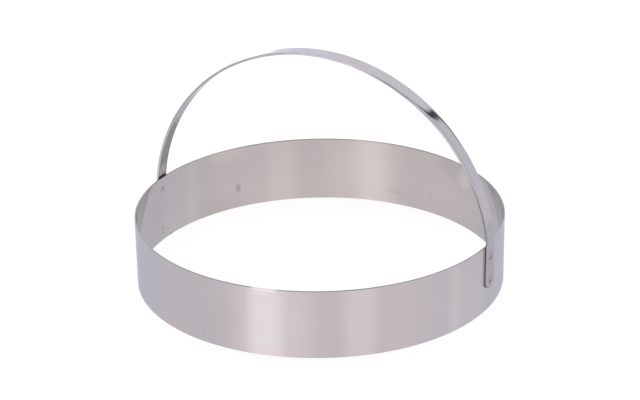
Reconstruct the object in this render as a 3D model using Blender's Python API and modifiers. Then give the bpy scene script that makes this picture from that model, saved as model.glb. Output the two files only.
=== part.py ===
# Round dough cutter: a rolled steel band that cuts the disc, and a flat strap handle
# that arches over it and is riveted to the outside of the band.
# Metres, +Z up. The origin is the centre of the band's lower, cutting edge.
# The handle stands over the X axis, with its feet at +X (right) and -X (left).

import math

import bmesh
import bpy

# Band
BAND_DIAMETER = 0.240
BAND_HEIGHT = 0.045
BAND_WALL = 0.001
BAND_EDGE_ROUND = 0.00015
BAND_STEPS = 180

# Handle strap
STRAP_WIDTH = 0.010
STRAP_THICKNESS = 0.0015
STRAP_EDGE_ROUND = 0.0003
HANDLE_RISE = 0.107  # top of the arch above the band's rim
ARCH_CENTRE_DROP = 0.0105  # centre of the arch's ellipse below the rim
ARCH_STEPS = 96
HANDLE_LEAN = math.radians(2.0)  # the strap above the rim leans towards +Y
LEAN_RUN_IN = 0.006  # way over which the lean and the skew set in, so that the strap has no kink
RIGHT_FOOT_END = 0.0155  # height of each foot's end above the cutting edge
LEFT_FOOT_END = 0.002
LEFT_FOOT_SKEW = math.radians(4.0)  # below the rim the left foot runs aside, towards -Y
FOOT_STEPS = 6  # pieces of the left foot, which follows its skew
FOOT_CORNER_RADIUS = 0.004
FOOT_CORNER_STEPS = 8

# Rivets, turned about their own Z axis, which points out of the band.
# Their heads are sunk in recesses in the strap, nearly flush with it.
RIVET_SHANK_DIAMETER = 0.003
RIVET_HEAD_DIAMETER = 0.0046
RIVET_HEAD_CROWN = 0.0003  # rise of the domed top over the head's own edge
RIVET_HEAD_PROUD = 0.00025  # top of the dome above the strap's outer face
RECESS_DEPTH = 0.0006
RIVET_TAIL_DIAMETER = 0.004
RIVET_TAIL_HEIGHT = 0.0004
RIGHT_RIVET_RISE = 0.0064  # from a foot's end up to its lower rivet
LEFT_RIVET_RISE = 0.0056
RIGHT_RIVET_DROP = 0.0068  # from the band's rim down to a foot's upper rivet
LEFT_RIVET_DROP = 0.0086
RIGHT_RIVET_ASIDE = -0.0014  # from a foot's middle line to its rivets, along Y
LEFT_RIVET_ASIDE = -0.0022
RIVET_STEPS = 32
CROWN_STEPS = 5

# Fits
STRAP_GAP = 0.0003  # between the band and the strap, at the strap's middle
RIVET_GAP = 0.0002  # round a shank and under a head
TAIL_GAP = 0.0003  # under a tail, where the band's wall curves towards it
RECESS_GAP = 0.0003  # round a head
CUTTER_OVERRUN = 0.002

EDGE_ROUND_SEGMENTS = 2
MERGE_DISTANCE = 0.00001
SHARP_ANGLE = math.radians(40)

BAND_RADIUS = BAND_DIAMETER / 2
STRAP_INNER_REACH = BAND_RADIUS + STRAP_GAP
STRAP_OUTER_REACH = STRAP_INNER_REACH + STRAP_THICKNESS


def clear_scene():
    for obj in list(bpy.data.objects):
        bpy.data.objects.remove(obj, do_unlink=True)


def new_collection(name):
    collection = bpy.data.collections.new(name)
    bpy.context.scene.collection.children.link(collection)
    return collection


def steel(name, colour, roughness):
    material = bpy.data.materials.new(name)
    material.use_nodes = True
    shader = material.node_tree.nodes["Principled BSDF"]
    shader.inputs["Base Color"].default_value = (*colour, 1.0)
    shader.inputs["Metallic"].default_value = 1.0
    shader.inputs["Roughness"].default_value = roughness
    return material


def object_from(name, bm, collection, material=None):
    mesh = bpy.data.meshes.new(name)
    bm.to_mesh(mesh)
    bm.free()
    mesh.shade_smooth()
    mesh.set_sharp_from_angle(angle=SHARP_ANGLE)
    obj = bpy.data.objects.new(name, mesh)
    collection.objects.link(obj)
    if material:
        obj.data.materials.append(material)
    return obj


def turned(name, profile, steps, closed, collection, material):
    """A profile of (radius, height) points, turned once about Z."""
    bm = bmesh.new()
    points = [bm.verts.new((radius, 0.0, height)) for radius, height in profile]
    for first, second in zip(points, points[1:]):
        bm.edges.new((first, second))
    if closed:
        bm.edges.new((points[-1], points[0]))
    obj = object_from(name, bm, collection, material)
    screw = obj.modifiers.new("Turn", "SCREW")
    screw.axis = "Z"
    screw.angle = 2 * math.pi
    screw.steps = steps
    screw.render_steps = steps
    screw.use_merge_vertices = True
    screw.merge_threshold = MERGE_DISTANCE
    screw.use_smooth_shade = True
    return obj


def round_edges(obj, width):
    bevel = obj.modifiers.new("Edge rounding", "BEVEL")
    bevel.width = width
    bevel.segments = EDGE_ROUND_SEGMENTS
    bevel.limit_method = "ANGLE"
    bevel.angle_limit = SHARP_ANGLE


def drill(obj, cutter):
    cut = obj.modifiers.new("Hole for " + cutter.name, "BOOLEAN")
    cut.operation = "DIFFERENCE"
    cut.solver = "EXACT"
    cut.object = cutter


def make_band(collection):
    inner = BAND_RADIUS - BAND_WALL
    profile = [
        (BAND_RADIUS, BAND_HEIGHT),
        (BAND_RADIUS, 0.0),
        (inner, 0.0),
        (inner, BAND_HEIGHT),
    ]
    band_steel = steel("band_steel", (0.58, 0.55, 0.54), 0.34)
    band = turned("cutter_band", profile, BAND_STEPS, True, collection, band_steel)
    round_edges(band, BAND_EDGE_ROUND)
    return band


def strap_path():
    """(x, z) points along the strap's outer face, from the right foot's end to the left one's.
    The feet stand straight up to the rim and the part of the ellipse above the rim joins them."""
    centre = BAND_HEIGHT - ARCH_CENTRE_DROP
    rise = HANDLE_RISE + ARCH_CENTRE_DROP
    first_turn = math.asin(ARCH_CENTRE_DROP / rise)
    half_span = STRAP_OUTER_REACH / math.cos(first_turn)
    points = [(STRAP_OUTER_REACH, RIGHT_FOOT_END)]
    for step in range(ARCH_STEPS + 1):
        turn = first_turn + (math.pi - 2 * first_turn) * step / ARCH_STEPS
        x = half_span * math.cos(turn)
        z = centre + rise * math.sin(turn)
        points.append((x, z))
    for step in range(1, FOOT_STEPS + 1):
        share = step / FOOT_STEPS
        height = BAND_HEIGHT + (LEFT_FOOT_END - BAND_HEIGHT) * share
        points.append((-STRAP_OUTER_REACH, height))
    return points


def run_aside(slant, way):
    """How far a line has gone aside after this way, when its slant sets in gently."""
    return math.tan(slant) * way * way / (way + LEAN_RUN_IN)


def strap_middle(side, height):
    """Where the strap's middle line lies along Y, on this side (+1 right, -1 left)."""
    if height > BAND_HEIGHT:
        return run_aside(HANDLE_LEAN, height - BAND_HEIGHT)
    if side < 0:
        return -run_aside(LEFT_FOOT_SKEW, BAND_HEIGHT - height)
    return 0.0


def make_strap(collection):
    """An open ribbon along the arch, rounded at its four corners, then thickened inwards."""
    bm = bmesh.new()
    front = [bm.verts.new((x, -STRAP_WIDTH / 2, z)) for x, z in strap_path()]
    edges = [bm.edges.new(pair) for pair in zip(front, front[1:])]
    swept = bmesh.ops.extrude_edge_only(bm, edges=edges)["geom"]
    back = [item for item in swept if isinstance(item, bmesh.types.BMVert)]
    bmesh.ops.translate(bm, verts=back, vec=(0.0, STRAP_WIDTH, 0.0))
    corners = [vert for vert in bm.verts if len(vert.link_edges) == 2]
    bmesh.ops.bevel(
        bm,
        geom=corners,
        offset=FOOT_CORNER_RADIUS,
        offset_type="OFFSET",
        segments=FOOT_CORNER_STEPS,
        profile=0.5,
        affect="VERTICES",
        material=-1,
    )
    for vert in bm.verts:
        vert.co.y += strap_middle(vert.co.x, vert.co.z)
    bmesh.ops.recalc_face_normals(bm, faces=bm.faces)
    bm.faces.ensure_lookup_table()
    top = max(bm.faces, key=lambda face: face.calc_center_median().z)
    if top.normal.z < 0:
        bmesh.ops.reverse_faces(bm, faces=bm.faces)
    strap_steel = steel("strap_steel", (0.60, 0.59, 0.62), 0.22)
    strap = object_from("handle_strap", bm, collection, strap_steel)
    wall = strap.modifiers.new("Strap thickness", "SOLIDIFY")
    wall.thickness = STRAP_THICKNESS
    wall.offset = -1.0
    wall.use_even_offset = True
    round_edges(strap, STRAP_EDGE_ROUND)
    return strap


def rivet_profile():
    """(radius, height) from the crown of the head down to the middle of the tail.
    Height 0 is the strap's outer face."""
    grip = STRAP_THICKNESS + STRAP_GAP + BAND_WALL
    head_radius = RIVET_HEAD_DIAMETER / 2
    tail_radius = RIVET_TAIL_DIAMETER / 2
    shank_radius = RIVET_SHANK_DIAMETER / 2
    profile = []
    for step in range(CROWN_STEPS + 1):
        share = step / CROWN_STEPS
        height = RIVET_HEAD_PROUD - RIVET_HEAD_CROWN * share * share
        profile.append((head_radius * share, height))
    profile.append((head_radius, RIVET_GAP - RECESS_DEPTH))
    profile.append((shank_radius, RIVET_GAP - RECESS_DEPTH))
    profile.append((shank_radius, -grip - TAIL_GAP))
    for step in range(CROWN_STEPS + 1):
        turn = math.pi / 2 * (1 - step / CROWN_STEPS)
        height = -grip - TAIL_GAP - RIVET_TAIL_HEIGHT * math.cos(turn)
        profile.append((tail_radius * math.sin(turn), height))
    return profile


def rivet_places():
    """Name, side (+1 right, -1 left), place along Y and height of each rivet."""
    heights = {
        "right_upper_rivet": BAND_HEIGHT - RIGHT_RIVET_DROP,
        "right_lower_rivet": RIGHT_FOOT_END + RIGHT_RIVET_RISE,
        "left_upper_rivet": BAND_HEIGHT - LEFT_RIVET_DROP,
        "left_lower_rivet": LEFT_FOOT_END + LEFT_RIVET_RISE,
    }
    places = []
    for name, height in heights.items():
        side, aside = (1, RIGHT_RIVET_ASIDE) if name.startswith("right") else (-1, LEFT_RIVET_ASIDE)
        places.append((name, side, strap_middle(side, height) + aside, height))
    return places


def make_rivet(name, side, along, height, collection, material):
    rivet = turned(name, rivet_profile(), RIVET_STEPS, False, collection, material)
    rivet.location = (side * STRAP_OUTER_REACH, along, height)
    rivet.rotation_euler = (0.0, side * math.pi / 2, 0.0)


def make_cutter(name, side, along, height, radius, inner_reach, collection):
    """A cylinder along X from inner_reach out past the strap's outer face."""
    outer_reach = STRAP_OUTER_REACH + CUTTER_OVERRUN
    bm = bmesh.new()
    bmesh.ops.create_cone(
        bm,
        cap_ends=True,
        segments=RIVET_STEPS,
        radius1=radius,
        radius2=radius,
        depth=outer_reach - inner_reach,
    )
    cutter = object_from(name, bm, collection)
    cutter.location = (side * (inner_reach + outer_reach) / 2, along, height)
    cutter.rotation_euler = (0.0, math.pi / 2, 0.0)
    cutter.display_type = "WIRE"
    cutter.hide_render = True
    return cutter


def make_hole_cutter(name, side, along, height, collection):
    """Passes a shank through the strap and the band's wall."""
    radius = RIVET_SHANK_DIAMETER / 2 + RIVET_GAP
    inner_reach = BAND_RADIUS - BAND_WALL - CUTTER_OVERRUN
    return make_cutter(name + "_hole", side, along, height, radius, inner_reach, collection)


def make_recess_cutter(name, side, along, height, collection):
    """Sinks a head into the strap."""
    radius = RIVET_HEAD_DIAMETER / 2 + RECESS_GAP
    inner_reach = STRAP_OUTER_REACH - RECESS_DEPTH
    return make_cutter(name + "_recess", side, along, height, radius, inner_reach, collection)


def build():
    clear_scene()
    parts = new_collection("round_dough_cutter")
    cutters = new_collection("hole_cutters")
    band = make_band(parts)
    strap = make_strap(parts)
    for name, side, along, height in rivet_places():
        rivet_steel = steel(name + "_steel", (0.55, 0.54, 0.56), 0.30)
        make_rivet(name, side, along, height, parts, rivet_steel)
        hole = make_hole_cutter(name, side, along, height, cutters)
        drill(band, hole)
        drill(strap, hole)
        drill(strap, make_recess_cutter(name, side, along, height, cutters))


build()
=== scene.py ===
# Looks of the round dough cutter: a thin band of sheet steel and a strap handle riveted over it.
# Metres, +Z up. The band stands on z = 0, and the strap's feet are at +X and -X.
# Angles round the band are counted from +X, the right foot, towards +Y, the back.

import math

import bmesh
import bpy
from mathutils import Matrix, Vector


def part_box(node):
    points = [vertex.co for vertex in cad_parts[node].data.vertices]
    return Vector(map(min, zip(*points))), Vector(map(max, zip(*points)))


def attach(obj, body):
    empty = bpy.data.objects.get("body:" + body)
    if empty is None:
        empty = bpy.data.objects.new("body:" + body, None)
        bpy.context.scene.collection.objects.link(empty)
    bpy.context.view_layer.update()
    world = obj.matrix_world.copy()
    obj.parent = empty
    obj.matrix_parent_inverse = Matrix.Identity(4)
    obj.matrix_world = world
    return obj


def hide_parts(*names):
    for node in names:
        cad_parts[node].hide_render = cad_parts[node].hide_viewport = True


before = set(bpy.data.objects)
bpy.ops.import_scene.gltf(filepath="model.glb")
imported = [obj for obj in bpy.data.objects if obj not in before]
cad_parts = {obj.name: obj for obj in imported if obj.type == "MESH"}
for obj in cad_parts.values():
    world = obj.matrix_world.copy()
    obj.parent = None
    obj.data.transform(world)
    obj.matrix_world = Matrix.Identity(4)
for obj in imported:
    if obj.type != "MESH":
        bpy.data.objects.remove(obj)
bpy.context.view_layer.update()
print("frame:", ", ".join(sorted(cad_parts)))

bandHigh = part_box("cutter_band")[1]
strapLow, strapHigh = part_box("handle_strap")
bandRadius = bandHigh.x
rimHeight = bandHigh.z
strapReach = strapHigh.x  # from the band's axis to the strap's outer face, at the feet

mergeDistance = 0.000001
cornerTurn = 1.2  # radians; an edge whose faces turn by more is a corner, and is rounded


# Shader maths: a Signal is one socket, and arithmetic on it adds Math nodes

class Signal:
    def __init__(self, tree, socket):
        self.tree = tree
        self.socket = socket

    def node(self, kind, settings=None, inputs=None, output=0):
        made = self.tree.nodes.new(kind)
        for name, value in (settings or {}).items():
            setattr(made, name, value)
        for name, value in (inputs or {}).items():
            if isinstance(value, Signal):
                self.tree.links.new(value.socket, made.inputs[name])
            else:
                made.inputs[name].default_value = value
        return Signal(self.tree, made.outputs[output])

    def math(self, operation, *values):
        return self.node("ShaderNodeMath", {"operation": operation}, dict(enumerate(values)))

    def vectorMath(self, operation, *values, output=0):
        return self.node("ShaderNodeVectorMath", {"operation": operation}, dict(enumerate(values)), output)

    def __add__(self, other):
        return self.math("ADD", self, other)

    def __sub__(self, other):
        return self.math("SUBTRACT", self, other)

    def __mul__(self, other):
        return self.math("MULTIPLY", self, other)

    def __truediv__(self, other):
        return self.math("DIVIDE", self, other)

    def __rsub__(self, other):
        return self.math("SUBTRACT", other, self)

    def __rtruediv__(self, other):
        return self.math("DIVIDE", other, self)

    __radd__ = __add__
    __rmul__ = __mul__


def fade(signal, start, end):  # 0 below start, 1 above end, smooth between; start may be the larger
    inputs = {"Value": signal, "From Min": start, "From Max": end}
    return signal.node("ShaderNodeMapRange", {"interpolation_type": "SMOOTHSTEP"}, inputs)


def axisOf(place, axis):
    return place.node("ShaderNodeSeparateXYZ", None, {0: place}, axis)


def stretch(place, scale, shift=(0.0, 0.0, 0.0)):
    return place.node("ShaderNodeMapping", None, {"Vector": place, "Scale": scale, "Location": shift})


def lengthOf(offset):
    return offset.vectorMath("LENGTH", offset, output="Value")


def absolute(signal):
    return signal.math("ABSOLUTE", signal)


def within(signal, low, high, soft):  # 1 between low and high, with soft ends
    return fade(signal, low - soft / 2, low + soft / 2) * fade(signal, high + soft / 2, high - soft / 2)


def noiseOn(place, scale, detail=2.0, roughness=0.5):
    inputs = {"Vector": place, "Scale": scale, "Detail": detail, "Roughness": roughness}
    return place.node("ShaderNodeTexNoise", None, inputs)


def grainOn(place, grain):  # a noise that is drawn out as its entry in a finish says
    return noiseOn(stretch(place, grain["scale"]), 1.0, grain["detail"], grain["roughness"])


def blendColour(amount, first, second, blendType="MIX"):
    settings = {"data_type": "RGBA", "blend_type": blendType, "clamp_factor": True}
    return amount.node("ShaderNodeMix", settings, {0: amount, 6: first, 7: second}, 2)


def tinted(amount, colour, tint):  # multiplies the colour by the tint where the amount is 1
    return blendColour(amount, colour, tint, "MULTIPLY")


def newMaterial(name):
    material = bpy.data.materials.new(name)
    material.use_nodes = True
    tree = material.node_tree
    coordinates = tree.nodes.new("ShaderNodeTexCoord")
    return material, Signal(tree, coordinates.outputs["Object"])


def finishMaterial(material, constants, varying):
    tree = material.node_tree
    shader = tree.nodes["Principled BSDF"]
    for name, value in constants.items():
        shader.inputs[name].default_value = value
    for name, signal in varying.items():
        tree.links.new(signal.socket, shader.inputs[name])


def bumpFrom(height, strength, distance):
    return height.node("ShaderNodeBump", None, {"Height": height, "Strength": strength, "Distance": distance})


# Meshes

def addPiece(name, bm, material, nodeNames, sharpAngle=35):
    mesh = bpy.data.meshes.new(name)
    bm.to_mesh(mesh)
    bm.free()
    mesh.shade_smooth()
    mesh.set_sharp_from_angle(angle=math.radians(sharpAngle))
    mesh.materials.append(material)
    piece = bpy.data.objects.new(name, mesh)
    bpy.context.scene.collection.objects.link(piece)
    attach(piece, "root")
    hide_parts(*nodeNames)
    print("piece:", name, len(mesh.polygons), "faces")


def cornerEdges(bm):
    return [edge for edge in bm.edges if edge.is_manifold and edge.calc_face_angle() > cornerTurn]


def roundEdges(bm, edges, radius, segments):
    bmesh.ops.bevel(
        bm,
        geom=edges,
        offset=radius,
        offset_type="OFFSET",
        segments=segments,
        profile=0.5,
        affect="EDGES",
        material=-1,
        clamp_overlap=True,
    )


# The band

bandSizes = {
    "wall": 0.001,
    "edgeRadius": 0.00018,
    "edgeSegments": 3,
    "edgeLoop": 0.0006,  # a ring of edges this far in keeps the walls flat up to the rounding
    "steps": 360,
}

# In the finishes a pair of numbers says where something starts and where it is whole, and three say
# from where to where it reaches and how soft its ends are. A scale is in grains a metre, along each axis
bandFinish = {
    "bright": (0.610, 0.600, 0.602, 1.0),
    "dull": (0.585, 0.575, 0.580, 1.0),
    "clouds": {"scale": (9.0, 9.0, 16.0), "detail": 2.0, "roughness": 0.5},
    "cloudFade": (0.35, 0.65),
    "rolling": {"scale": (14.0, 14.0, 2600.0), "detail": 3.0, "roughness": 0.7},
    "waves": {"scale": (75.0, 75.0, 8.0), "detail": 2.0, "roughness": 0.4},
    "inside": (0.970, 0.955, 0.918, 1.0),  # painted shade of the inner wall, which gets less light
    "insideDepth": (0.0004, 0.0006),  # in from the outer face
    "rimDepth": (0.00008, 0.00002),  # down from the top
    # the top of the rim, darker than the walls
    "darkRimTop": (0.36, 0.35, 0.355, 1.0),
    "wornRim": (0.54, 0.53, 0.54, 1.0),  # near both feet, where the rim is rubbed clean
    "wornLeft": {"side": (-0.062, -0.074), "along": (-0.020, -0.030), "share": 0.6},
    "wornRight": {"side": (0.112, 0.115), "along": (-0.004, 0.002)},
    "paintedRimGlint": (0.97, 0.95, 0.92, 1.0),  # painted glint on a stretch of the rim in front
    "paintedGlintStretch": (0.0170, 0.0315, 0.004),
    "paintedGlintAlong": (0.0, -0.02),
    "paintedGlintBelow": (1.25, 1.22, 1.17, 1.0),  # painted glint: tint of the wall just under it
    "paintedGlintBelowDepth": (0.0022, 0.0008),
    "shadeAndGrime": (0.19, 0.17, 0.185, 1.0),  # painted shade of the gap beside the left foot, with grime, on the rim
    "shadeAndGrimeAlong": (-0.0060, 0.0042, 0.0010),
    "shadeAndGrimeSide": (-0.10, -0.11),
    "shadeAndGrimeDepth": (0.0003, 0.0001),
    "roughness": 0.12,
    "rollingRoughness": 0.04,
    "cloudRoughness": 0.03,
    "rimRoughness": 0.3,
    "insideRoughness": 0.07,  # added at the back of the inner wall
    "insideRoughSide": (0.090, 0.065),
    "rollingBump": 0.01,
    "bumpDistance": 0.00008,
    "anisotropy": 0.6,
    "anisotropyTurn": 0.25,
}


def bandMesh(sizes):
    bm = bmesh.new()
    inner = bandRadius - sizes["wall"]
    heights = [0.0, sizes["edgeLoop"], rimHeight - sizes["edgeLoop"], rimHeight]
    points = [bm.verts.new((bandRadius, 0.0, height)) for height in heights]
    points += [bm.verts.new((inner, 0.0, height)) for height in reversed(heights)]
    outline = [bm.edges.new((a, b)) for a, b in zip(points, points[1:] + points[:1])]
    bmesh.ops.spin(
        bm,
        geom=points + outline,
        cent=(0.0, 0.0, 0.0),
        axis=(0.0, 0.0, 1.0),
        angle=2 * math.pi,
        steps=sizes["steps"],
        use_merge=True,
    )
    bmesh.ops.remove_doubles(bm, verts=bm.verts, dist=mergeDistance)
    bmesh.ops.recalc_face_normals(bm, faces=bm.faces)
    roundEdges(bm, cornerEdges(bm), sizes["edgeRadius"], sizes["edgeSegments"])
    return bm


def nearTop(height, depth):  # depth is a pair, counted down from the rim
    start, whole = depth
    return fade(height, rimHeight - start, rimHeight - whole)


def bandSteel(finish):
    material, place = newMaterial("rolled_band_steel")
    clouds = grainOn(place, finish["clouds"])
    rolling = grainOn(place, finish["rolling"])
    waves = grainOn(place, finish["waves"])
    side, along, height = [axisOf(place, axis) for axis in (0, 1, 2)]
    radius = lengthOf(stretch(place, (1.0, 1.0, 0.0)))
    insideStart, insideWhole = finish["insideDepth"]
    inside = fade(radius, bandRadius - insideStart, bandRadius - insideWhole)
    colour = blendColour(fade(clouds, *finish["cloudFade"]), finish["dull"], finish["bright"])
    # painted shade: the inner wall made a little darker, as less light reaches it
    colour = tinted(inside, colour, finish["inside"])
    colour = addMarksAndPaintedLight(place, colour, inside, innerMarksAndPaintedLight)
    colour = addMarksAndPaintedLight(place, colour, 1.0 - inside, outerMarksAndPaintedLight)

    left, right = finish["wornLeft"], finish["wornRight"]
    nearLeft = fade(side, *left["side"]) * fade(along, *left["along"])
    nearRight = fade(side, *right["side"]) * fade(along, *right["along"])
    worn = nearLeft * left["share"] + nearRight
    # painted highlight: a lamp's glint on the rim in front, and on the wall just under it
    paintedGlintMask = within(side, *finish["paintedGlintStretch"]) * fade(along, *finish["paintedGlintAlong"])
    rimColour = blendColour(worn, finish["darkRimTop"], finish["wornRim"])
    rimColour = blendColour(paintedGlintMask, rimColour, finish["paintedRimGlint"])
    paintedGlintBelow = paintedGlintMask * nearTop(height, finish["paintedGlintBelowDepth"])
    colour = tinted(paintedGlintBelow, colour, finish["paintedGlintBelow"])
    rim = nearTop(height, finish["rimDepth"])
    colour = blendColour(rim, colour, rimColour)
    # painted shade, with grime: the rim darkened where the left foot meets it
    atLeftFoot = within(along, *finish["shadeAndGrimeAlong"]) * fade(side, *finish["shadeAndGrimeSide"])
    shadedAndGrimy = nearTop(height, finish["shadeAndGrimeDepth"]) * atLeftFoot
    colour = blendColour(shadedAndGrimy, colour, finish["shadeAndGrime"])

    roughness = finish["roughness"] + (rolling - 0.5) * finish["rollingRoughness"]
    roughness = roughness + (clouds - 0.5) * finish["cloudRoughness"] + rim * finish["rimRoughness"]
    roughBack = inside * fade(absolute(side), *finish["insideRoughSide"])
    roughness = roughness + roughBack * finish["insideRoughness"]
    constants = {
        "Metallic": 1.0,
        "Anisotropic": finish["anisotropy"],
        "Anisotropic Rotation": finish["anisotropyTurn"],
    }
    varying = {
        "Base Color": colour,
        "Roughness": roughness,
        "Normal": bumpFrom(waves + rolling * finish["rollingBump"], 1.0, finish["bumpDistance"]),
    }
    finishMaterial(material, constants, varying)
    return material


# Marks, painted reflections and painted shade on the walls: each lies at an angle and a height, with its half
# width and half height
innerMarksAndPaintedLight = [
    {"angle": 147.0, "height": 0.0150, "size": (0.0024, 0.0035), "tint": (0.64, 0.63, 0.59, 1.0)},
    {"angle": 146.5, "height": 0.0148, "size": (0.0009, 0.0014), "tint": (0.84, 0.84, 0.84, 1.0)},
    {"angle": 92.8, "height": 0.0099, "size": (0.0080, 0.0022), "tint": (1.00, 0.94, 0.95, 1.0)},
    {"angle": 91.0, "height": 0.0090, "size": (0.0025, 0.0012), "tint": (0.96, 0.92, 0.94, 1.0)},
    {"angle": 77.9, "height": 0.0114, "size": (0.0007, 0.0024), "tint": (0.86, 0.80, 0.79, 1.0)},
    # from here to the one at 201 degrees: painted reflections, broad lighter and darker patches for what the
    # inner wall mirrors
    {"angle": 70.0, "height": 0.0180, "size": (0.0400, 0.0230), "tint": (1.08, 1.065, 1.045, 1.0)},
    {"angle": 69.0, "height": 0.0385, "size": (0.0130, 0.0070), "tint": (0.93, 0.905, 0.935, 1.0)},
    {"angle": 79.0, "height": 0.0410, "size": (0.0100, 0.0050), "tint": (1.05, 1.08, 1.06, 1.0)},
    {"angle": 62.0, "height": 0.0355, "size": (0.0075, 0.0085), "tint": (1.24, 1.22, 1.18, 1.0)},
    {"angle": 157.0, "height": 0.0020, "size": (0.0300, 0.0130), "tint": (0.925, 0.915, 0.90, 1.0)},
    {"angle": 151.5, "height": 0.0425, "size": (0.0140, 0.0070), "tint": (1.14, 1.12, 1.09, 1.0)},
    {"angle": 166.0, "height": 0.0280, "size": (0.0130, 0.0200), "tint": (0.98, 1.01, 0.99, 1.0)},
    {"angle": 20.0, "height": 0.0225, "size": (0.0340, 0.0400), "tint": (0.89, 0.91, 0.94, 1.0)},
    {"angle": 35.0, "height": 0.0470, "size": (0.0300, 0.0150), "tint": (0.81, 0.90, 0.96, 1.0)},
    {"angle": 201.0, "height": 0.0450, "size": (0.0180, 0.0130), "tint": (0.89, 0.96, 1.03, 1.0)},
    {"angle": 177.5, "height": 0.0004, "size": (0.0014, 0.0013), "tint": (0.40, 0.36, 0.38, 1.0)},
]

outerMarksAndPaintedLight = [
    {"angle": -98.3, "height": 0.0068, "size": (0.0012, 0.0034), "tint": (0.92, 0.91, 0.90, 1.0)},
    {"angle": -97.0, "height": 0.0062, "size": (0.0008, 0.0026), "tint": (0.95, 0.94, 0.94, 1.0)},
    # painted highlight: a light streak under the glint on the rim
    {"angle": -79.3, "height": 0.0415, "size": (0.0048, 0.0009), "tint": (1.16, 1.14, 1.12, 1.0)},
    # painted reflections: broad tones on the front of the wall
    {"angle": -74.0, "height": 0.0028, "size": (0.0190, 0.0040), "tint": (1.03, 0.955, 1.0, 1.0)},
    {"angle": -67.0, "height": 0.0150, "size": (0.0110, 0.0120), "tint": (0.985, 1.0, 0.985, 1.0)},
    # painted shade, with dirt: the dark hook under the lower corner of the right foot
    {"angle": -2.1, "height": 0.0170, "size": (0.0009, 0.0010), "tint": (0.35, 0.33, 0.34, 1.0)},
    {"angle": -1.1, "height": 0.0160, "size": (0.0011, 0.0008), "tint": (0.30, 0.28, 0.29, 1.0)},
    {"angle": -0.1, "height": 0.0150, "size": (0.0010, 0.0006), "tint": (0.30, 0.28, 0.29, 1.0)},
    # a painted reflection: a broad tone
    {"angle": -20.0, "height": 0.0280, "size": (0.0140, 0.0120), "tint": (0.985, 1.0, 0.98, 1.0)},
]

patchShape = {
    "grain": 420.0,  # of the noise that frays their outlines
    "raggedness": 1.1,
    "outline": (-0.8, 1.6),  # squared distances, in half widths, where a patch is whole and where it ends
    "reach": (0.05, 0.03),  # keeps a patch off the far side of the ring
}


def addMarksAndPaintedLight(place, colour, face, marks):
    ragged = (noiseOn(place, patchShape["grain"]) - 0.5) * patchShape["raggedness"]
    middle = bandRadius - bandSizes["wall"] / 2
    for patch in marks:
        angle = math.radians(patch["angle"])
        wide, high = patch["size"]
        centre = Vector((middle * math.cos(angle), middle * math.sin(angle), patch["height"]))
        across = Vector((-math.sin(angle), math.cos(angle), 0.0))
        offset = place.vectorMath("SUBTRACT", place, centre)
        aside = offset.vectorMath("DOT_PRODUCT", offset, across, output="Value") * (1.0 / wide)
        above = axisOf(offset, 2) * (1.0 / high)
        near = 1.0 - fade(aside * aside + above * above + ragged, *patchShape["outline"])
        near = near * fade(lengthOf(offset), *patchShape["reach"])
        colour = tinted(near * face, colour, patch["tint"])
    return colour


addPiece("band", bandMesh(bandSizes), bandSteel(bandFinish), ["cutter_band"])


# The strap: a flat blank is cut, rounded and sunk for the rivets, then bent over the band

strapSizes = {
    "thickness": 0.0015,
    "width": 0.010,
    "frontCrown": (0.00012, 5),  # how much the outer face falls away at the edge, and how late
    "backCrown": (0.00005, 12),
    "frontEdge": 0.00035,
    "backEdge": 0.00016,
    "innerEdge": 0.0001,
    "edgeSegments": 5,
    "borderSlack": 0.0001,  # an edge this close to a broad face belongs to its border
    "cornerRadius": 0.004,
    "cornerSegments": 10,
    "rightFootEnd": 0.0155,
    "leftFootEnd": strapLow.z,
    "leftSkew": math.radians(4.0),  # below the rim the left foot runs aside, towards -Y
    "centreDrop": 0.0105,  # centre of the arch's ellipse below the rim
    "lean": math.radians(2.0),
    "leanRunIn": 0.006,  # the bend at the rim, where the lean and the skew set in
    "station": 0.0012,  # from cut to cut along the arch
    "footStations": 12,
    "lanes": 10,  # strips side by side
    "recessRadius": 0.0026,
    "recessDepth": 0.0006,
    "recessSteps": 32,
}


def archEllipse(sizes):  # the height of its centre, its rise and half its span
    centre = rimHeight - sizes["centreDrop"]
    rise = strapHigh.z - centre
    return centre, rise, strapReach / math.cos(math.asin(sizes["centreDrop"] / rise))


def archPath(sizes, steps=1600):  # points on the outer face and the distance along it to each one
    centre, rise, halfSpan = archEllipse(sizes)
    firstTurn = math.asin(sizes["centreDrop"] / rise)
    points = [Vector((strapReach, 0.0, sizes["rightFootEnd"]))]
    for step in range(steps + 1):
        turn = firstTurn + (math.pi - 2 * firstTurn) * step / steps
        points.append(Vector((halfSpan * math.cos(turn), 0.0, centre + rise * math.sin(turn))))
    points.append(Vector((-strapReach, 0.0, sizes["leftFootEnd"])))
    lengths = [0.0]
    for first, second in zip(points, points[1:]):
        lengths.append(lengths[-1] + (second - first).length)
    return points, lengths


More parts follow.
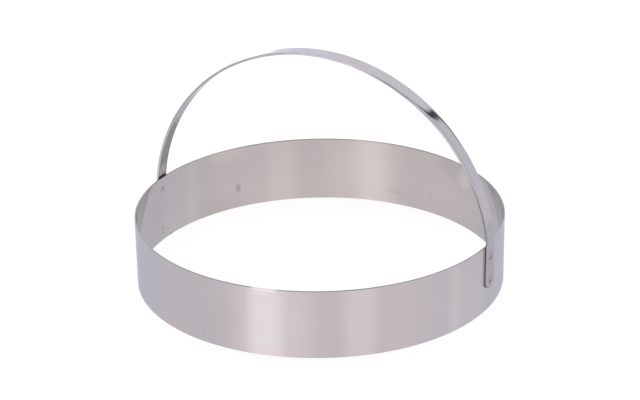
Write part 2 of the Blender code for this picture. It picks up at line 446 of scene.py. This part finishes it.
def flatStrap(sizes, length, rivetPlaces):
    bm = bmesh.new()
    flat = Matrix.Diagonal((length, sizes["width"], 1.0, 1.0))
    flat.translation = (length / 2, 0.0, 0.0)
    bmesh.ops.create_grid(bm, x_segments=1, y_segments=1, size=0.5, matrix=flat)
    bmesh.ops.bevel(
        bm,
        geom=list(bm.verts),
        offset=sizes["cornerRadius"],
        offset_type="OFFSET",
        segments=sizes["cornerSegments"],
        profile=0.5,
        affect="VERTICES",
        material=-1,
    )
    for face in bm.faces:
        if face.normal.z < 0:
            face.normal_flip()
    lid = list(bm.faces)
    body = bmesh.ops.extrude_face_region(bm, geom=lid, use_keep_orig=True)["geom"]
    lifted = [item for item in body if isinstance(item, bmesh.types.BMVert)]
    bmesh.ops.translate(bm, verts=lifted, vec=(0.0, 0.0, -sizes["thickness"]))
    bmesh.ops.recalc_face_normals(bm, faces=bm.faces)
    upper = -sizes["borderSlack"]
    lower = sizes["borderSlack"] - sizes["thickness"]
    roundBorder(bm, sizes, sizes["frontEdge"], lambda spot: spot.z > upper and spot.y < 0.0)
    roundBorder(bm, sizes, sizes["backEdge"], lambda spot: spot.z > upper and spot.y > 0.0)
    roundBorder(bm, sizes, sizes["innerEdge"], lambda spot: spot.z < lower)
    blank = meshObject("strap_blank", bm)
    for place in rivetPlaces:
        sinkRecess(blank, sizes, place)
    return evaluatedMesh(blank)


def roundBorder(bm, sizes, radius, belongs):
    borders = [edge for edge in cornerEdges(bm) if belongs((edge.verts[0].co + edge.verts[1].co) / 2)]
    roundEdges(bm, borders, radius, sizes["edgeSegments"])


def meshObject(name, bm):
    mesh = bpy.data.meshes.new(name)
    bm.to_mesh(mesh)
    bm.free()
    made = bpy.data.objects.new(name, mesh)
    bpy.context.scene.collection.objects.link(made)
    return made


def sinkRecess(blank, sizes, place):
    bm = bmesh.new()
    bmesh.ops.create_cone(
        bm,
        cap_ends=True,
        segments=sizes["recessSteps"],
        radius1=sizes["recessRadius"],
        radius2=sizes["recessRadius"],
        depth=2 * sizes["recessDepth"],
        matrix=Matrix.Translation((place.x, place.y, 0.0)),
    )
    punch = meshObject("punch", bm)
    cut = blank.modifiers.new("recess", "BOOLEAN")
    cut.operation = "DIFFERENCE"
    cut.solver = "EXACT"
    cut.object = punch


def evaluatedMesh(blank):
    bpy.context.view_layer.update()
    depsgraph = bpy.context.evaluated_depsgraph_get()
    bm = bmesh.new()
    bm.from_object(blank, depsgraph)
    punches = [cut.object for cut in blank.modifiers]
    for used in [blank] + punches:
        bpy.data.objects.remove(used, do_unlink=True)
    return bm


def slicePlanes(bm, places, direction):
    for place in places:
        bmesh.ops.bisect_plane(
            bm,
            geom=list(bm.verts) + list(bm.edges) + list(bm.faces),
            dist=mergeDistance / 10,  # a cut this close to a vertex goes through it
            plane_co=direction * place,
            plane_no=direction,
        )


def bendStrap(bm, sizes, points, lengths):
    half = sizes["width"] / 2
    index = 0
    for vert in sorted(bm.verts, key=lambda v: v.co.x):
        while index < len(lengths) - 2 and lengths[index + 1] < vert.co.x:
            index += 1
        first, second = points[index], points[index + 1]
        span = lengths[index + 1] - lengths[index]
        share = (vert.co.x - lengths[index]) / span
        along = (second - first) / span
        outwards = Vector((along.z, 0.0, -along.x))
        crown, power = sizes["frontCrown"] if vert.co.y < 0 else sizes["backCrown"]
        depth = vert.co.z - crown * abs(vert.co.y / half) ** power
        bent = first.lerp(second, share) + outwards * depth
        vert.co = (bent.x, vert.co.y + strapMiddle(sizes, bent.x, bent.z), bent.z)


def strapMiddle(sizes, side, height):  # the middle line's place along Y
    way = abs(height - rimHeight)
    if height < rimHeight and side > 0:
        return 0.0
    slant = sizes["lean"] if height > rimHeight else -sizes["leftSkew"]
    return math.tan(slant) * way * way / (way + sizes["leanRunIn"])


def strapMesh(sizes):
    points, lengths = archPath(sizes)
    length = lengths[-1]
    rightFoot = rimHeight - sizes["rightFootEnd"]
    leftFoot = rimHeight - sizes["leftFootEnd"]
    rivetPlaces = []
    for word, side in (("right", 1), ("left", -1)):
        for row in ("upper", "lower"):
            low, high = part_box(word + "_" + row + "_rivet")
            middle = (low + high) / 2
            fromEnd = middle.z - sizes[word + "FootEnd"]
            aside = middle.y - strapMiddle(sizes, side, middle.z)
            rivetPlaces.append(Vector((fromEnd if side > 0 else length - fromEnd, aside)))
    bm = flatStrap(sizes, length, rivetPlaces)
    archLength = length - rightFoot - leftFoot
    count = round(archLength / sizes["station"])
    stations = [rightFoot + archLength * step / count for step in range(count + 1)]
    footSteps = sizes["footStations"]
    stations += [length - leftFoot * (1 - step / footSteps) for step in range(1, footSteps)]
    slicePlanes(bm, stations, Vector((1.0, 0.0, 0.0)))
    lanes = [sizes["width"] * (lane / sizes["lanes"] - 0.5) for lane in range(1, sizes["lanes"])]
    slicePlanes(bm, lanes, Vector((0.0, 1.0, 0.0)))
    bendStrap(bm, sizes, points, lengths)
    return bm


strapFinish = {
    "bright": (0.570, 0.565, 0.585, 1.0),
    "dull": (0.550, 0.545, 0.565, 1.0),
    "clouds": {"scale": (30.0, 60.0, 30.0), "detail": 2.0, "roughness": 0.5},
    "cloudFade": (0.2, 0.8),
    "foot": (0.500, 0.492, 0.510, 1.0),  # painted shade: darker below the rim, round the rivets
    "footFade": 0.004,  # from this far above the rim to this far below it
    "leftInside": (0.74, 0.74, 0.72, 1.0),  # tints of painted shade: a dark reflection on the inner face above the left foot
    "leftInsideHeight": (0.0920, 0.0860),
    "leftInsideLow": (0.80, 0.79, 0.75, 1.0),
    "leftInsideLowHeight": (0.0640, 0.0560),
    "innerRing": (0.9900, 0.9885),  # the inner face, in shares of the arch's ellipse
    "innerSide": (-0.02, -0.04),
    "sideDepth": (0.0003, 0.0001),  # the narrow faces, in from their surface
    "rubbed": {"height": (0.0480, 0.0540, 0.0020), "across": (0.0042, 0.0028), "share": 0.8},  # and bright
    "specks": (900.0, 3.0, 0.6),  # scale, detail and roughness of their noise
    "speckFade": (0.40, 0.55),
    "scratch": (0.90, 0.90, 0.90, 1.0),
    "hairlines": {"scale": (22.0, 2600.0, 22.0), "detail": 3.0, "roughness": 0.7},
    "scratchFade": (0.60, 0.72),
    "scuff": (0.91, 0.91, 0.90, 1.0),
    "scuffs": {"scale": (70.0, 1100.0, 70.0), "detail": 2.0, "roughness": 0.6},
    "scuffFade": (0.54, 0.68),
    "toneSoftness": 0.0003,  # of a tone's long edges
    "roughness": 0.09,
    "hairlineRoughness": 0.06,
    "bumpStrength": 0.05,
    "bumpDistance": 0.00002,
    "anisotropy": 0.3,
}


# Painted highlights, shade and reflections on the strap's narrow faces and edges: from where to where across
# the strap, counted from its middle line, and from left to right
strapPaintedLight = [
    {"across": (-0.0060, -0.0048), "side": (-0.150, -0.1125), "soft": 0.005, "tint": (1.08, 1.14, 1.10, 1.0)},
    {"across": (-0.0060, -0.0048), "side": (-0.108, -0.048), "soft": 0.0120, "tint": (0.83, 0.86, 0.84, 1.0)},
    {"across": (-0.0060, -0.0048), "side": (-0.022, 0.028), "soft": 0.0120, "tint": (1.30, 1.32, 1.30, 1.0)},
    {"across": (-0.0060, -0.0048), "side": (0.038, 0.064), "soft": 0.0120, "tint": (0.72, 0.73, 0.72, 1.0)},
    {"across": (-0.0060, -0.0048), "side": (0.082, 0.109), "soft": 0.0120, "tint": (1.26, 1.29, 1.29, 1.0)},
    {"across": (-0.0060, -0.0048), "side": (0.110, 0.150), "soft": 0.0060, "tint": (1.06, 1.08, 1.08, 1.0)},
    {"across": (-0.0050, -0.0045), "side": (0.022, 0.046), "soft": 0.0100, "tint": (1.35, 1.35, 1.32, 1.0)},
    {"across": (-0.0048, -0.0041), "side": (0.082, 0.110), "soft": 0.0120, "tint": (0.80, 0.80, 0.81, 1.0)},
    {"across": (-0.0045, 0.0060), "side": (0.077, 0.080), "soft": 0.0016, "tint": (0.72, 0.71, 0.73, 1.0)},
    {"across": (0.0038, 0.0060), "side": (0.083, 0.094), "soft": 0.0100, "tint": (0.28, 0.28, 0.29, 1.0)},
    {"across": (-0.0049, 0.0060), "side": (-0.046, 0.011), "soft": 0.0120, "tint": (1.00, 1.00, 1.12, 1.0)},
    {"across": (-0.0049, 0.0060), "side": (-0.046, -0.020), "soft": 0.0100, "tint": (1.08, 1.09, 1.08, 1.0)},
    {"across": (-0.0048, -0.0042), "side": (0.1195, 0.150), "soft": 0.0020, "tint": (0.85, 0.85, 0.86, 1.0)},
]


def strapSteel(finish, sizes):
    material, place = newMaterial("smooth_strap_steel")
    side, along, height = [axisOf(place, axis) for axis in (0, 1, 2)]
    hairlines = grainOn(place, finish["hairlines"])
    clouds = grainOn(place, finish["clouds"])
    scuffs = grainOn(place, finish["scuffs"])
    specks = noiseOn(place, *finish["specks"])

    centre, rise, halfSpan = archEllipse(sizes)
    ring = lengthOf(stretch(place, (1.0 / halfSpan, 0.0, 1.0 / rise), (0.0, 0.0, -centre / rise)))
    innerFace = fade(ring, *finish["innerRing"]) * fade(side, *finish["innerSide"])
    way = (height - rimHeight).math("MAXIMUM", height - rimHeight, 0.0)
    aside = along - way * way / (way + sizes["leanRunIn"]) * math.tan(sizes["lean"])
    offMiddle = absolute(aside)
    sideStart, sideWhole = finish["sideDepth"]
    sideFace = fade(offMiddle, sizes["width"] / 2 - sideStart, sizes["width"] / 2 - sideWhole)

    footFade = finish["footFade"]
    colour = blendColour(fade(clouds, *finish["cloudFade"]), finish["dull"], finish["bright"])
    # painted shade: the strap made darker below the rim, where less light reaches it
    colour = blendColour(fade(height, rimHeight + footFade, rimHeight - footFade), colour, finish["foot"])
    worn = finish["rubbed"]
    rubbed = within(height, *worn["height"]) * fade(offMiddle, *worn["across"])
    rubbed = rubbed * fade(specks, *finish["speckFade"])
    shaded = innerFace * (1.0 - rubbed * worn["share"]) * (1.0 - sideFace)
    # painted shade standing for a dark reflection on the inner face of the left leg
    for name in ("leftInside", "leftInsideLow"):
        colour = tinted(fade(height, *finish[name + "Height"]) * shaded, colour, finish[name])
    # painted highlights, shade and reflections: lighter and darker lines along the edges
    for tone in strapPaintedLight:
        share = within(aside, *tone["across"], finish["toneSoftness"])
        share = share * within(side, *tone["side"], tone["soft"])
        colour = tinted(share, colour, tone["tint"])
    colour = tinted(fade(hairlines, *finish["scratchFade"]), colour, finish["scratch"])
    colour = tinted(fade(scuffs, *finish["scuffFade"]), colour, finish["scuff"])
    constants = {"Metallic": 1.0, "Anisotropic": finish["anisotropy"]}
    varying = {
        "Base Color": colour,
        "Roughness": finish["roughness"] + (hairlines - 0.5) * finish["hairlineRoughness"],
        "Normal": bumpFrom(hairlines, finish["bumpStrength"], finish["bumpDistance"]),
    }
    finishMaterial(material, constants, varying)
    return material


strapMaterial = strapSteel(strapFinish, strapSizes)
addPiece("strap", strapMesh(strapSizes), strapMaterial, ["handle_strap"], sharpAngle=40)


# The rivets

rivetSizes = {
    "headRadius": 0.0023,
    "headCrown": 0.0003,
    "headSeat": 0.0004,
    "shankRadius": 0.0015,
    "tailRadius": 0.002,
    "tailHeight": 0.0004,
    "grip": 0.0030,  # from the top of the head to the tail
    "steps": 48,
    "domeSteps": 6,
}


def rivetMesh(sizes, side, middle, outerReach):
    bm = bmesh.new()
    outline = []
    for step in range(sizes["domeSteps"] + 1):
        share = step / sizes["domeSteps"]
        outline.append((sizes["headRadius"] * share, -sizes["headCrown"] * share * share))
    outline.append((sizes["headRadius"], -sizes["headCrown"] - sizes["headSeat"]))
    outline.append((sizes["shankRadius"], -sizes["headCrown"] - sizes["headSeat"]))
    outline.append((sizes["shankRadius"], -sizes["grip"]))
    for step in range(sizes["domeSteps"] + 1):
        turn = math.pi / 2 * (1 - step / sizes["domeSteps"])
        depth = -sizes["grip"] - sizes["tailHeight"] * math.cos(turn)
        outline.append((sizes["tailRadius"] * math.sin(turn), depth))
    verts = [bm.verts.new((radius, 0.0, depth)) for radius, depth in outline]
    edges = [bm.edges.new(pair) for pair in zip(verts, verts[1:])]
    bmesh.ops.spin(
        bm,
        geom=verts + edges,
        cent=(0.0, 0.0, 0.0),
        axis=(0.0, 0.0, 1.0),
        angle=2 * math.pi,
        steps=sizes["steps"],
        use_merge=True,
    )
    bmesh.ops.remove_doubles(bm, verts=bm.verts, dist=mergeDistance)
    bmesh.ops.recalc_face_normals(bm, faces=bm.faces)
    turn = Matrix.Rotation(side * math.pi / 2, 4, "Y")
    place = Matrix.Translation((side * outerReach, middle.y, middle.z))
    bmesh.ops.transform(bm, matrix=place @ turn, verts=bm.verts)
    return bm


rivetFinish = {
    "dark": (0.45, 0.44, 0.47, 1.0),
    "light": (0.60, 0.59, 0.62, 1.0),
    "mottleSize": 1800.0,
    "mottleFade": (0.3, 0.7),
    "roughness": 0.28,
    "mottleRoughness": 0.15,
    "shadeAndGrime": (0.030, 0.028, 0.032, 1.0),
    "shadeAndGrimeAside": 0.0004,  # the place of the painted shade and grime on a head, from its middle
    "shadeAndGrimeBelow": 0.0014,
    "shadeAndGrimeReach": 0.0015,
    "shadeAndGrimeCore": 0.3,  # the share of its reach that is whole
}


def rivetSteel(finish, middles):
    material, place = newMaterial("dull_rivet_steel")
    mottle = noiseOn(place, finish["mottleSize"])
    colour = blendColour(fade(mottle, *finish["mottleFade"]), finish["dark"], finish["light"])
    # painted shade, with grime: a dark spot at the lower side of each head, by its recess
    for middle in middles:
        spot = Vector((math.copysign(strapReach, middle.x), middle.y, middle.z))
        spot += Vector((0.0, finish["shadeAndGrimeAside"], -finish["shadeAndGrimeBelow"]))
        distance = place.vectorMath("DISTANCE", place, spot, output="Value")
        near = fade(distance, finish["shadeAndGrimeReach"], finish["shadeAndGrimeReach"] * finish["shadeAndGrimeCore"])
        colour = blendColour(near, colour, finish["shadeAndGrime"])
    roughness = finish["roughness"] + mottle * finish["mottleRoughness"]
    finishMaterial(material, {"Metallic": 1.0}, {"Base Color": colour, "Roughness": roughness})
    return material


rivetNodes = [word + "_" + row + "_rivet" for word in ("right", "left") for row in ("upper", "lower")]
rivetBoxes = [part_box(nodeName) for nodeName in rivetNodes]
rivetMaterial = rivetSteel(rivetFinish, [(low + high) / 2 for low, high in rivetBoxes])
for nodeName, (low, high) in zip(rivetNodes, rivetBoxes):
    side = math.copysign(1.0, low.x)
    reach = max(abs(low.x), abs(high.x))
    bm = rivetMesh(rivetSizes, side, (low + high) / 2, reach)
    addPiece(nodeName + "_piece", bm, rivetMaterial, [nodeName])


# The table, the studio and the camera

floorSizes = {"half": 4.0, "drop": 0.0002}

floorLook = {
    "paper": (0.25, 0.25, 0.25, 1.0),
    "white": (1.0, 1.0, 1.0, 1.0),
    "glow": 0.90,
}


def cameraRays(tree):
    return Signal(tree, tree.nodes.new("ShaderNodeLightPath").outputs["Is Camera Ray"])


def makeFloor(sizes, look):
    bm = bmesh.new()
    down = Matrix.Translation((0.0, 0.0, -sizes["drop"]))
    bmesh.ops.create_grid(bm, x_segments=1, y_segments=1, size=sizes["half"], matrix=down)
    floor = meshObject("table_top", bm)
    floor.visible_glossy = False  # the world's lower half is what the steel mirrors of the table
    floor.visible_shadow = False
    material = bpy.data.materials.new("white_paper")
    material.use_nodes = True
    tree = material.node_tree
    tree.nodes.clear()
    rays = cameraRays(tree)
    diffuse = rays.node("ShaderNodeBsdfDiffuse", None, {"Color": look["paper"]})
    glow = rays.node("ShaderNodeEmission", None, {"Color": look["white"], "Strength": rays * look["glow"]})
    both = rays.node("ShaderNodeAddShader", None, {0: diffuse, 1: glow})
    ending = tree.nodes.new("ShaderNodeOutputMaterial")
    tree.links.new(both.socket, ending.inputs["Surface"])
    floor.data.materials.append(material)


studio = {
    "seen": (1.0, 1.0, 1.0, 1.0),  # what the camera sees; the rest is for reflections and soft light
    "camera": -61.5,  # the camera's side; angles, widths and reaches are in degrees
    "tableFront": (0.88, 0.81, 0.84, 1.0),
    "tableBack": (0.70, 0.685, 0.765, 1.0),
    "tableTurn": (-0.45, 0.75),  # cosines of the angle to the camera's side, from back to front
    "wallFront": (0.16, 0.15, 0.16, 1.0),
    "wallBack": (0.94, 0.91, 0.95, 1.0),
    "wallTurn": (-0.3, 0.3),
    "wallFoot": (-0.26, -0.12),  # at the back; heights are sines of the angle above the horizon
    "wallFootRise": (0.24, 0.27),  # by how much both are higher in front
    "cardTop": (-0.30, -0.46),
    "cards": [
        {"angle": -155.0, "reach": 40.0, "colour": (0.82, 0.77, 0.815, 1.0)},
        {"angle": -91.0, "reach": 31.0, "colour": (1.04, 0.955, 0.965, 1.0)},
        {"angle": -96.5, "reach": 14.5, "colour": (1.28, 1.19, 1.185, 1.0)},
        {"angle": -37.5, "reach": 12.5, "colour": (1.04, 0.95, 0.955, 1.0)},
        {"angle": 38.0, "reach": 32.0, "colour": (0.82, 0.78, 0.83, 1.0)},
        {"angle": 29.5, "reach": 7.0, "colour": (0.875, 0.835, 0.867, 1.0)},
        {"angle": 120.0, "reach": 48.0, "colour": (0.585, 0.578, 0.64, 1.0)},
        {"angle": 121.0, "reach": 17.0, "colour": (0.77, 0.76, 0.81, 1.0)},
    ],
    "wallCards": [
        {"angle": 35.0, "reach": 42.0, "low": -0.2, "high": 0.9, "colour": (0.85, 0.81, 0.87, 1.0)},
        {"angle": -95.0, "reach": 13.0, "low": 0.0, "high": 0.7, "colour": (1.7, 1.65, 1.6, 1.0)},
        {"angle": 132.0, "reach": 30.0, "low": -0.18, "high": 0.04, "colour": (1.9, 1.85, 1.85, 1.0)},
    ],
    "wallCardEnds": 0.08,  # how soft their tops and bottoms are
    "wallCardSides": 0.6,  # the share of their reach that fades out
    "gap": {
        "angle": 71.0,
        "wide": 3.8,
        "sides": (0.85, 1.1),  # shares of half its width where it is whole and where it ends
        "low": 2.0,
        "lowFade": (-0.06, 0.06),
        "high": 65.0,
        "highFade": (-0.1, 0.05),
        "colour": (0.012, 0.010, 0.015, 1.0),
    },
}


def towards(flat, angle):  # 1 straight towards the angle, 0 square to it, -1 away from it
    turn = math.radians(angle)
    heading = (math.cos(turn), math.sin(turn), 0.0)
    return flat.vectorMath("DOT_PRODUCT", flat, heading, output="Value")


def darkGap(flat, height, gap):
    halfWidth = math.sin(math.radians(gap["wide"] / 2))
    low = math.sin(math.radians(gap["low"]))
    high = math.sin(math.radians(gap["high"]))
    sideWhole, sideEnd = gap["sides"]
    lowStart, lowWhole = gap["lowFade"]
    highWhole, highEnd = gap["highFade"]
    across = absolute(towards(flat, gap["angle"] + 90.0))
    inGap = 1.0 - fade(across, halfWidth * sideWhole, halfWidth * sideEnd)
    inGap = inGap * fade(towards(flat, gap["angle"]), 0.0, 0.1)  # not on the opposite side
    inGap = inGap * fade(height, low + lowStart, low + lowWhole)
    return inGap * (1.0 - fade(height, high + highWhole, high + highEnd))


def makeWorld(look):
    world = bpy.data.worlds.new("studio")
    bpy.context.scene.world = world
    world.use_nodes = True
    tree = world.node_tree
    tree.nodes.clear()
    facing = Signal(tree, tree.nodes.new("ShaderNodeTexCoord").outputs["Generated"])
    level = facing.vectorMath("MULTIPLY", facing, (1.0, 1.0, 0.0))
    flat = level.vectorMath("NORMALIZE", level)
    height = axisOf(facing, 2)
    front = towards(flat, look["camera"])

    table = blendColour(fade(front, *look["tableTurn"]), look["tableBack"], look["tableFront"])
    onTable = fade(height, *look["cardTop"])
    for card in look["cards"]:
        edge = math.cos(math.radians(card["reach"]))
        table = blendColour(fade(towards(flat, card["angle"]), edge, 1.0) * onTable, table, card["colour"])

    frontSide = fade(front, *look["wallTurn"])
    wall = blendColour(frontSide, look["wallBack"], look["wallFront"])
    wallFoot = [foot + frontSide * rise for foot, rise in zip(look["wallFoot"], look["wallFootRise"])]
    colour = blendColour(fade(height, *wallFoot), table, wall)
    for card in look["wallCards"]:
        edge = math.cos(math.radians(card["reach"]))
        whole = edge + (1.0 - edge) * look["wallCardSides"]
        onCard = fade(towards(flat, card["angle"]), edge, whole)
        onCard = onCard * within(height, card["low"], card["high"], look["wallCardEnds"])
        colour = blendColour(onCard, colour, card["colour"])
    colour = blendColour(darkGap(flat, height, look["gap"]), colour, look["gap"]["colour"])
    colour = blendColour(cameraRays(tree), colour, look["seen"])
    background = colour.node("ShaderNodeBackground", None, {"Color": colour, "Strength": 1.0})
    ending = tree.nodes.new("ShaderNodeOutputWorld")
    tree.links.new(background.socket, ending.inputs["Surface"])


viewpoint = {
    "azimuth": math.radians(28.47),  # round the band from straight in front, towards the right foot
    "standOff": 1.24834,
    "height": 0.61021,
    "aimAside": 0.00036,
    "aimHeight": 0.05144,
    "roll": -0.0146,
    "lens": 118.65,
    "sensor": 36.0,
}


def makeCamera(view):
    data = bpy.data.cameras.new("camera")
    data.sensor_width = view["sensor"]
    data.lens = view["lens"]
    camera = bpy.data.objects.new("camera", data)
    bpy.context.scene.collection.objects.link(camera)
    bpy.context.scene.camera = camera
    side = Vector((math.cos(view["azimuth"]), math.sin(view["azimuth"]), 0.0))
    front = Vector((side.y, -side.x, 0.0))
    camera.location = front * view["standOff"] + Vector((0.0, 0.0, view["height"]))
    aim = side * view["aimAside"] + Vector((0.0, 0.0, view["aimHeight"]))
    facing = (aim - camera.location).to_track_quat("-Z", "Y").to_matrix()
    camera.rotation_euler = (facing @ Matrix.Rotation(view["roll"], 3, "Z")).to_euler()


makeFloor(floorSizes, floorLook)
makeWorld(studio)
makeCamera(viewpoint)
bpy.context.scene.view_settings.view_transform = "Standard"
print("studio: floor, world and camera")
